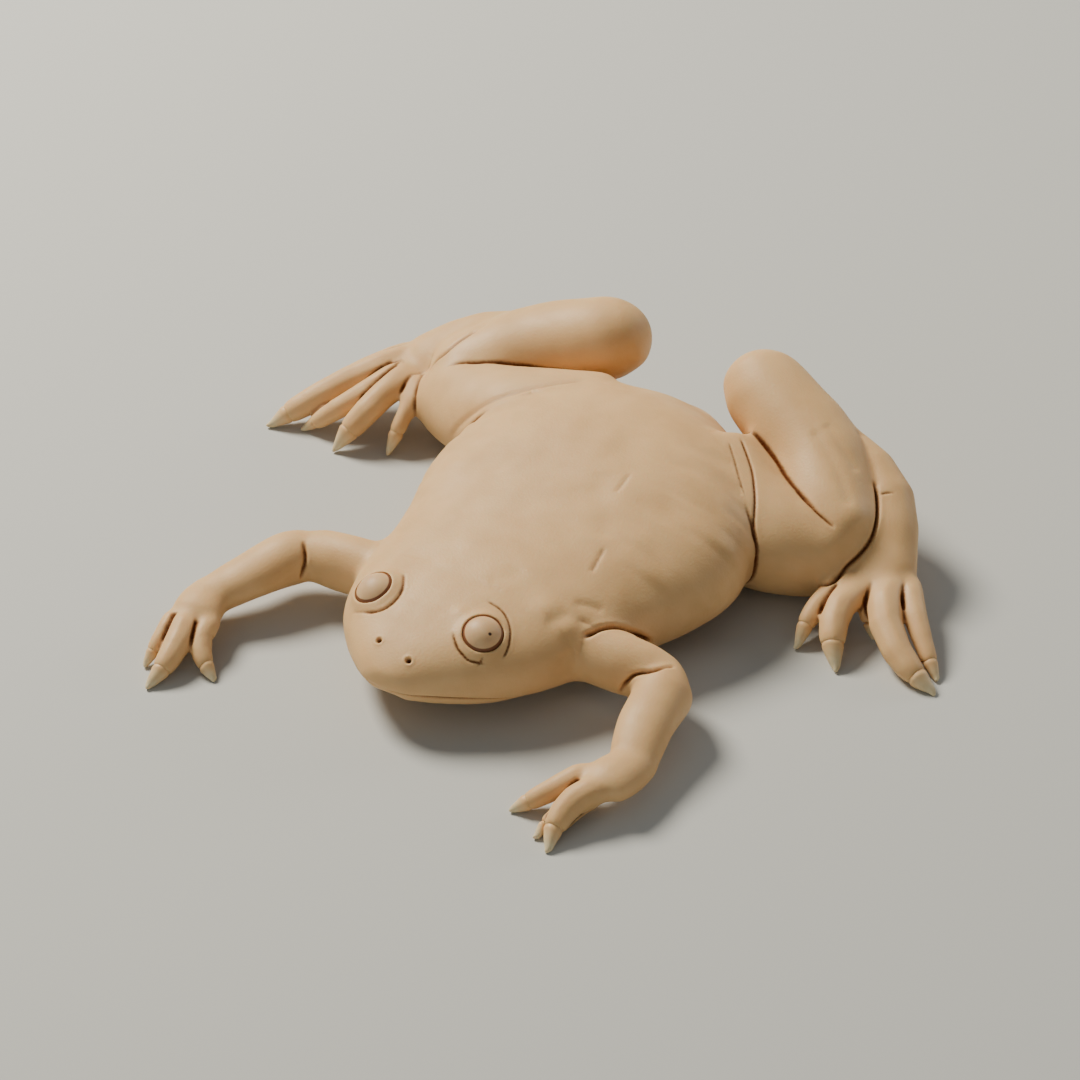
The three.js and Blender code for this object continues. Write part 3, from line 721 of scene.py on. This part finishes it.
def fold_lines(tree):
    """Each fold as a line on the skin, with its depth, half width and darkness."""
    found = []
    for pixels, depth, width, darkness in FOLDS.values():
        places = [on_skin(pixel, tree) for pixel in pixels]
        line = along([place for place in places if place is not None])
        found.append((line, depth * MM, width * MM, darkness))
    return found


def mouth_height(y):
    """The mouth's line falls from the snout to its corners."""
    share = min(max((y - SNOUT_Y) / (MOUTH_CORNER_Y - SNOUT_Y), 0), 1)
    return MOUTH_FRONT_Z - MOUTH_DROP * share**MOUTH_CURVE


def mouth_line(tree):
    """The line of the mouth, from corner to corner round the snout."""
    line = []
    for turn in np.linspace(-math.pi / 2, math.pi / 2, MOUTH_POINTS):
        inwards = Vector((-math.sin(turn), math.cos(turn), 0))
        outside = Vector((0, MOUTH_CORNER_Y, 0)) - MOUTH_START * inwards
        height = MOUTH_FRONT_Z
        for _ in range(MOUTH_ROUNDS):
            outside.z = height
            hit = tree.ray_cast(outside, inwards)[0]
            height = mouth_height(hit.y)
        line.append(hit)
    return along(line)


def press_fold(points, normals, colour, line, depth, width, darkness=1.0):
    """Sinks a fold along a line, raises the skin beside it, and paints shade at its bottom."""
    reach = max(FOLD_REACH * width, FOLD_LEAST_REACH)
    close, away, share = near_line(line, points, reach)
    length = np.linalg.norm(np.diff(line, axis=0), axis=1).sum()
    fade = min(max(FOLD_ENDS, FOLD_LEAST_FADE / length), 0.5)
    ends = ramp(share, 0, fade) * ramp(1 - share, 0, fade)
    sunk = np.exp(-((away / width) ** 2))
    raised = np.exp(-(((away - SHOULDER_PLACE * width) / (SHOULDER_WIDTH * width)) ** 2))
    points[close] += (depth * ends * (FOLD_SHOULDER * raised - sunk))[:, None] * normals[close]
    # Painted shade along the bottom of the fold
    dark = darkness * ends * np.exp(-((away / max(LINE_WIDTH * width, THINNEST_LINE)) ** 2))
    colour[close] = np.maximum(colour[close], dark)


def press_swells(points, normals, tree):
    """Low rounded swellings."""
    for pixel, height, radius in SWELLS.values():
        away = np.linalg.norm(points - on_skin(pixel, tree), axis=1)
        points += (height * MM * np.exp(-((away / (radius * MM)) ** 2)))[:, None] * normals


def press_nostrils(points, normals, colour, tree):
    """Sinks the nostrils and paints shade in them, and raises a rim round each."""
    for pixel in NOSTRILS:
        middle = on_skin(pixel, tree)
        away = np.linalg.norm(points - middle, axis=1)
        sunk = np.exp(-((away / NOSTRIL_RADIUS) ** NOSTRIL_STEEPNESS))
        from_rim = away - RIM_PLACE * NOSTRIL_RADIUS
        rim = np.exp(-((from_rim / (RIM_WIDTH * NOSTRIL_RADIUS)) ** 2))
        points += (NOSTRIL_RIM * rim - NOSTRIL_DEPTH * sunk)[:, None] * normals
        colour[:] = np.maximum(colour, sunk)


def body_relief(points, owner):
    """Height of the soft lumps and the flanks' wrinkles over the smooth skin."""
    torso = (owner == flesh_nodes().index("torso")).astype(float)
    x, y, z = points.T
    flank = torso * ramp(np.abs(x), *FLANK_OUT) * ramp(z, *FLANK_UP)
    flank *= ramp(y, *FLANK_FRONT) * ramp(-y, *FLANK_BACK)
    round_body = np.arctan2(z - BODY_MIDDLE_Z, np.abs(x)) * np.hypot(x, z - BODY_MIDDLE_Z)
    sheet = np.column_stack([y + WRINKLE_LEAN * z, round_body, FLANK_SHIFT * np.sign(x)])
    wrinkles = noises(sheet, WRINKLES)
    lumps = (LUMP_HEIGHT + BODY_LUMP_HEIGHT * torso) * MM * noises(points, LUMPS)
    return lumps + WRINKLE_HEIGHT * flank * wrinkles


def finished_skin():
    """The skin with its relief, thinned, and masks of where painted shade darkens its folds and
    hollows.
    """
    mesh, owner = smooth_skin()
    points, edges, triangles = points_of(mesh), edges_of(mesh), triangles_of(mesh)
    normals = normals_of(points, triangles)
    away, strength = near_creases(owner, points, edges)
    deep = strength * np.exp(-((away / CREASE_WIDTH) ** 2))
    # Painted shade at the bottom of the folds between parts
    colour = CREASE_SHADE * deep
    narrow_digits(points, colour, owner)
    points += (body_relief(points, owner) - CREASE_DEPTH * deep)[:, None] * normals
    tree = BVHTree.FromPolygons(points.tolist(), triangles.tolist())
    for line, depth, width, darkness in fold_lines(tree):
        press_fold(points, normals, colour, line, depth, width, darkness)
    # The mouth's line is sunk with painted shade along its bottom
    press_fold(points, normals, colour, mouth_line(tree), MOUTH_DEPTH, MOUTH_WIDTH)
    press_swells(points, normals, tree)
    press_nostrils(points, normals, colour, tree)
    points[:, 2] = np.maximum(points[:, 2], FLOOR_CLEARANCE)
    normals = normals_of(points, triangles)
    # Painted shade in hollows, from how far each point lies under its neighbours' mean
    to_mean = neighbour_mean(points, edges, valence_of(edges, len(points))) - points
    hollow_shade = np.einsum("ij,ij->i", to_mean, normals)
    hollow_shade = ramp(spread(hollow_shade, edges, HOLLOW_STEPS), *HOLLOW_DEPTHS)
    set_points(mesh, points)
    lighter = with_modifier(mesh, "DECIMATE", ratio=min(1, SKIN_TRIANGLES / len(triangles)))
    tree = tree_of(points)
    nearest = [tree.find(point)[1] for point in points_of(lighter).tolist()]
    # Masks of painted shade: at the bottom of folds, and in hollows
    set_values(lighter, "fold", colour[nearest])
    set_values(lighter, "hollow_shade", hollow_shade[nearest])
    return lighter


# Pieces


def finish_piece(mesh, name, material, nodes):
    """Makes a mesh a piece of the frog, in place of some of its nodes."""
    mesh.materials.clear()
    mesh.materials.append(material)
    mesh.shade_smooth()
    piece = add_object(name, mesh)
    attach(piece, "root")
    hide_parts(*nodes)


# Claws


def claw_nodes():
    return [f"claw_{digit}" for side in SIDES for digit in digit_nodes(side)]


def claw_sections(node):
    """A claw's sections from its root, its tip, and its directions forward, across and up.

    A section is its middle, its half width and its half height.
    """
    claw, triangles = closed_copy(node)
    digit, _ = closed_copy(node.removeprefix("claw_"))
    ahead = np.linalg.norm(claw - digit.mean(0), axis=1).argsort()
    root, tip = claw[ahead[:CLAW_ROOT_POINTS]].mean(0), claw[ahead[-1]]
    forward = (tip - root) / np.linalg.norm(tip - root)
    across = np.cross(forward, (0, 0, 1))
    across /= np.linalg.norm(across)
    axes = np.array([forward, across, np.cross(across, forward)])
    local = (claw - root) @ axes.T
    ends = local[np.concatenate([triangles[:, pair] for pair in ([0, 1], [1, 2], [2, 0])])]
    rows = []
    for share in CLAW_SECTIONS:
        height = share * local[ahead[-1], 0]
        near, far = ends[(ends[:, 0, 0] < height) & (ends[:, 1, 0] >= height)].transpose(1, 0, 2)
        part = ((height - near[:, 0]) / (far[:, 0] - near[:, 0]))[:, None]
        cut = near + part * (far - near)
        low, high = cut.min(0), cut.max(0)
        rows.append([*(root + (low + high) / 2 @ axes), *((high - low)[1:] / 2)])
    return np.array(rows), tip, axes


def claw_mesh(node):
    """A smooth curved claw, its root sunk in its digit."""
    rows, tip, axes = claw_sections(node)
    rows[:, 3:] += CLAW_SWELL * (1 - np.array(CLAW_SECTIONS)[:, None])
    sunk = np.append(rows[0, :3] - CLAW_SUNK * axes[0], CLAW_SUNK_SIZE * rows[0, 3:])
    rows = along(np.array([sunk, *rows, [*tip, CLAW_POINT, CLAW_POINT]]), CLAW_STEP)
    heights = (rows[:, :3] - rows[0, :3]) @ axes[0]
    left = np.clip((heights[-1] - heights) / CLAW_POINT, TIP_CUT, 1)
    rows[:, 3:] *= np.sqrt(left * (2 - left))[:, None]
    turns = np.linspace(0, 2 * math.pi, CLAW_SIDES, endpoint=False)
    ring = np.column_stack([np.cos(turns), np.sin(turns)])
    points = rows[:, None, :3] + (rows[:, None, 3:] * ring) @ axes[1:]
    points = points.reshape(-1, 3)
    points[:, 2] = np.maximum(points[:, 2], FLOOR_CLEARANCE)
    faces = []
    for i in range(len(rows) - 1):
        for j in range(CLAW_SIDES):
            a, b = i * CLAW_SIDES + j, i * CLAW_SIDES + (j + 1) % CLAW_SIDES
            faces.append((a, a + CLAW_SIDES, b + CLAW_SIDES, b))
    faces.append(tuple(range(CLAW_SIDES)))
    faces.append(tuple(reversed(range(len(points) - CLAW_SIDES, len(points)))))
    mesh = bpy.data.meshes.new(f"{node}_nail")
    mesh.from_pydata(points.tolist(), [], faces)
    set_values(mesh, "from_root", np.repeat((heights - CLAW_SUNK) / heights[-1], CLAW_SIDES))
    return mesh


def narrow_digits(points, colour, owner):
    """Each digit narrows evenly to the root of its claw, with a faint dark line there."""
    for node in claw_nodes():
        if node in TUCKED_CLAWS:
            continue
        rows, _, _ = claw_sections(node)
        root, size = rows[0, :3], rows[0, 3:].max() + CLAW_SWELL + CUTICLE_RISE
        own = np.flatnonzero(owner == flesh_nodes().index(node.removeprefix("claw_")))
        offsets = points[own] - root
        away = np.linalg.norm(offsets, axis=1)
        behind = offsets[(away > DIGIT_BEHIND[0]) & (away < DIGIT_BEHIND[1])].mean(0)
        forward = -behind / np.linalg.norm(behind)
        ahead = offsets @ forward
        sideways = offsets - ahead[:, None] * forward
        wide = np.linalg.norm(sideways, axis=1)
        over = wide - size - DIGIT_TAPER * np.maximum(-ahead, 0)
        pulled = 0.5 * (over + np.hypot(over, DIGIT_ROUNDING))
        pulled *= (ahead > -DIGIT_END) * ramp(DIGIT_REACH - wide, 0, DIGIT_ROUNDING)
        points[own] -= (pulled / np.maximum(wide, DIGIT_CORE))[:, None] * sideways
        line = CUTICLE_DARKNESS * np.exp(-(((ahead + CUTICLE_BACK) / CUTICLE_WIDTH) ** 2))
        colour[own] = np.maximum(colour[own], line)


def add_claws():
    material = claw_material()
    for node in claw_nodes():
        finish_piece(claw_mesh(node), f"{node}_nail", material, [node])


# Eyes


def eye_ball(side):
    """Middle and radius of an eye."""
    low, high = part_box(f"eye_{side}")
    return (low + high) / 2, (high - low).x / 2


def pupil_direction(side):
    """From the middle of an eye to its pupil."""
    middle, radius = eye_ball("left")
    start, along_ray = camera_place() - middle, seen_through(LEFT_PUPIL)
    reach = start.dot(along_ray)
    hit = start - along_ray * (reach + math.sqrt(reach**2 - start.length_squared + radius**2))
    towards = Vector((SIDES[side] * hit.x, hit.y, hit.z)).normalized()
    if side == "right":
        towards.rotate(Matrix.Rotation(RIGHT_PUPIL_TURN, 3, "Y"))
    return towards


def ball(rows, columns):
    """A closed unit ball, its poles on Z."""
    points = [(0, 0, 1)]
    for i in range(1, rows):
        rise, out = math.cos(math.pi * i / rows), math.sin(math.pi * i / rows)
        for j in range(columns):
            turn = 2 * math.pi * j / columns
            points.append((out * math.cos(turn), out * math.sin(turn), rise))
    points.append((0, 0, -1))
    last = len(points) - 1
    faces = []
    for j in range(columns):
        k = (j + 1) % columns
        faces.append((0, 1 + j, 1 + k))
        faces.append((last, last - columns + k, last - columns + j))
        for i in range(rows - 2):
            a = 1 + i * columns
            faces.append((a + j, a + columns + j, a + columns + k, a + k))
    return np.array(points, float), faces


def add_eyes():
    material = eye_material()
    for side in SIDES:
        middle, radius = eye_ball(side)
        pupil = pupil_direction(side)
        lids = Vector((SIDES[side] * EYE_AXIS.x, EYE_AXIS.y, EYE_AXIS.z)).normalized()
        turn = Vector((0, 0, 1)).rotation_difference(lids).to_matrix()
        points, faces = ball(EYE_ROWS, EYE_COLUMNS)
        points = points @ np.array(turn).T
        mesh = bpy.data.meshes.new(f"eyeball_{side}")
        mesh.from_pydata((np.array(middle) + radius * points).tolist(), [], faces)
        for name, axis in (("from_pupil", pupil), ("from_lids", lids)):
            set_values(mesh, name, np.degrees(np.arccos(np.clip(points @ np.array(axis), -1, 1))))
        finish_piece(mesh, f"eyeball_{side}", material, [f"eye_{side}"])


# Materials


def add_node(tree, kind, **settings):
    node = tree.nodes.new(kind)
    for name, value in settings.items():
        setattr(node, name, value)
    return node


def new_material(name):
    material = bpy.data.materials.new(name)
    material.use_nodes = True
    return material, material.node_tree, material.node_tree.nodes["Principled BSDF"]


def grain_group():
    """Fine grain and broad mottling on Object coordinates, for skin, claws and eyes."""
    if "grain" in bpy.data.node_groups:
        return bpy.data.node_groups["grain"]
    group = bpy.data.node_groups.new("grain", "ShaderNodeTree")
    for name, size in zip(("Fine size", "Broad size"), SKIN_GRAIN):
        socket = group.interface.new_socket(name, in_out="INPUT", socket_type="NodeSocketFloat")
        socket.default_value = size
    for name in ("Fine", "Broad"):
        group.interface.new_socket(name, in_out="OUTPUT", socket_type="NodeSocketFloat")
    inside, outside = group.nodes.new("NodeGroupInput"), group.nodes.new("NodeGroupOutput")
    place = group.nodes.new("ShaderNodeTexCoord")
    for size, output, detail in zip(("Fine size", "Broad size"), ("Fine", "Broad"), GRAIN_DETAIL):
        scale = add_node(group, "ShaderNodeMath", operation="DIVIDE")
        scale.inputs[0].default_value = 1
        noise = group.nodes.new("ShaderNodeTexNoise")
        noise.inputs["Detail"].default_value = detail
        group.links.new(inside.outputs[size], scale.inputs[1])
        group.links.new(place.outputs["Object"], noise.inputs["Vector"])
        group.links.new(scale.outputs[0], noise.inputs["Scale"])
        group.links.new(noise.outputs["Fac"], outside.inputs[output])
    return group


def place_grain(tree, fine, broad):
    node = add_node(tree, "ShaderNodeGroup", node_tree=grain_group())
    node.inputs["Fine size"].default_value = fine
    node.inputs["Broad size"].default_value = broad
    return node


def mix_colours(tree, factor, first, second, reach=(0, 1)):
    """Goes from the first colour to the second as the factor goes through its reach."""
    span = add_node(tree, "ShaderNodeMapRange", clamp=True)
    span.inputs["From Min"].default_value, span.inputs["From Max"].default_value = reach
    mix = add_node(tree, "ShaderNodeMix", data_type="RGBA")
    tree.links.new(factor, span.inputs["Value"])
    tree.links.new(span.outputs["Result"], mix.inputs["Factor"])
    for socket, colour in ((mix.inputs[MIX_FIRST], first), (mix.inputs[MIX_SECOND], second)):
        if isinstance(colour, tuple):
            socket.default_value = (*colour, 1)
        else:
            tree.links.new(colour, socket)
    return mix.outputs[MIX_RESULT]


def add_bump(tree, shader, height, distance, strength):
    """Fine relief, where height is a value that changes over the surface."""
    bump = tree.nodes.new("ShaderNodeBump")
    bump.inputs["Distance"].default_value = distance
    bump.inputs["Strength"].default_value = strength
    tree.links.new(height, bump.inputs["Height"])
    tree.links.new(bump.outputs["Normal"], shader.inputs["Normal"])


def spread_values(tree, factor, values):
    """Goes from the first value to the second as the factor goes through VALUE_SPAN."""
    span = tree.nodes.new("ShaderNodeMapRange")
    span.inputs["From Min"].default_value, span.inputs["From Max"].default_value = VALUE_SPAN
    span.inputs["To Min"].default_value, span.inputs["To Max"].default_value = values
    tree.links.new(factor, span.inputs["Value"])
    return span.outputs["Result"]


def add_depth(shader, weight, radius, scale):
    """Light that spreads a little under the surface."""
    shader.inputs["Subsurface Weight"].default_value = weight
    shader.inputs["Subsurface Radius"].default_value = radius
    shader.inputs["Subsurface Scale"].default_value = scale


def attribute(tree, name):
    return add_node(tree, "ShaderNodeAttribute", attribute_name=name).outputs["Fac"]


def skin_material():
    material, tree, shader = new_material("damp skin")
    grain = place_grain(tree, *SKIN_GRAIN)
    colour = mix_colours(tree, grain.outputs["Broad"], SKIN_COLOUR, SKIN_SHADE, MOTTLING_SPAN)
    # Painted shade in the hollows and at the bottom of folds
    colour = mix_colours(tree, attribute(tree, "hollow_shade"), colour, HOLLOW_SHADE_COLOUR, HOLLOW_SHADE_SPAN)
    colour = mix_colours(tree, attribute(tree, "fold"), colour, FOLD_SHADE_COLOUR, FOLD_SHADE_SPAN)
    tree.links.new(colour, shader.inputs["Base Color"])
    roughness = spread_values(tree, grain.outputs["Broad"], SKIN_ROUGHNESS)
    tree.links.new(roughness, shader.inputs["Roughness"])
    add_depth(shader, *SKIN_DEPTH)
    shine = spread_values(tree, attribute(tree, "fold"), SKIN_SHINE)
    tree.links.new(shine, shader.inputs["Specular IOR Level"])
    add_bump(tree, shader, grain.outputs["Fine"], *SKIN_BUMP)
    return material


def eye_material():
    material, tree, shader = new_material("wet eye")
    grain = place_grain(tree, *EYE_GRAIN)
    colour = mix_colours(tree, grain.outputs["Broad"], EYE_COLOUR, EYE_SHADE, MOTTLING_SPAN)
    # Painted shade round the eye where the lids meet it
    colour = mix_colours(tree, attribute(tree, "from_lids"), colour, LID_SHADE_COLOUR, LID_ANGLES)
    colour = mix_colours(tree, attribute(tree, "from_pupil"), PUPIL_COLOUR, colour, PUPIL_ANGLES)
    tree.links.new(colour, shader.inputs["Base Color"])
    shader.inputs["Roughness"].default_value = EYE_ROUGHNESS
    shader.inputs["Specular IOR Level"].default_value = EYE_SHINE
    add_depth(shader, *EYE_DEPTH)
    add_bump(tree, shader, grain.outputs["Fine"], *EYE_BUMP)
    return material


def claw_material():
    material, tree, shader = new_material("pale horn")
    grain = place_grain(tree, *CLAW_GRAIN)
    colour = mix_colours(tree, grain.outputs["Broad"], CLAW_COLOUR, CLAW_SHADE, MOTTLING_SPAN)
    colour = mix_colours(tree, attribute(tree, "from_root"), SKIN_COLOUR, colour, CLAW_ROOT_SPAN)
    tree.links.new(colour, shader.inputs["Base Color"])
    roughness = spread_values(tree, grain.outputs["Fine"], CLAW_ROUGHNESS)
    tree.links.new(roughness, shader.inputs["Roughness"])
    shader.inputs["Specular IOR Level"].default_value = CLAW_SHINE
    add_depth(shader, *CLAW_DEPTH)
    add_bump(tree, shader, grain.outputs["Fine"], *CLAW_BUMP)
    return material


# Stage


def add_floor():
    signs = ((-1, -1), (1, -1), (1, 1), (-1, 1))
    corners = np.array([(x * FLOOR_REACH, y * FLOOR_REACH, 0) for x, y in signs])
    mesh = mesh_of("floor", corners, np.array([(0, 1, 2), (0, 2, 3)]))
    floor = add_object("floor", mesh)
    material, _, shader = new_material("floor")
    shader.inputs["Base Color"].default_value = FLOOR_COLOUR
    shader.inputs["Roughness"].default_value = FLOOR_ROUGHNESS
    mesh.materials.append(material)


def add_area(name, towards, distance, size, power, colour):
    """A round soft lamp, aimed at the frog from a direction."""
    data = bpy.data.lights.new(name, "AREA")
    data.shape = "DISK"
    data.size = size
    data.energy = power
    data.color = colour
    lamp = add_object(name, data)
    place = Vector(towards).normalized() * distance
    lamp.location = place
    lamp.rotation_euler = (-place).to_track_quat("-Z", "Y").to_euler()


def add_lights():
    world = bpy.data.worlds.new("studio")
    world.use_nodes = True
    background = world.node_tree.nodes["Background"]
    background.inputs["Color"].default_value = WORLD_COLOUR
    background.inputs["Strength"].default_value = WORLD_STRENGTH
    bpy.context.scene.world = world
    for name, lamp in LAMPS.items():
        add_area(name, *lamp)


finish_piece(finished_skin(), "skin", skin_material(), flesh_nodes())
add_claws()
add_eyes()
add_camera()
add_floor()
add_lights()
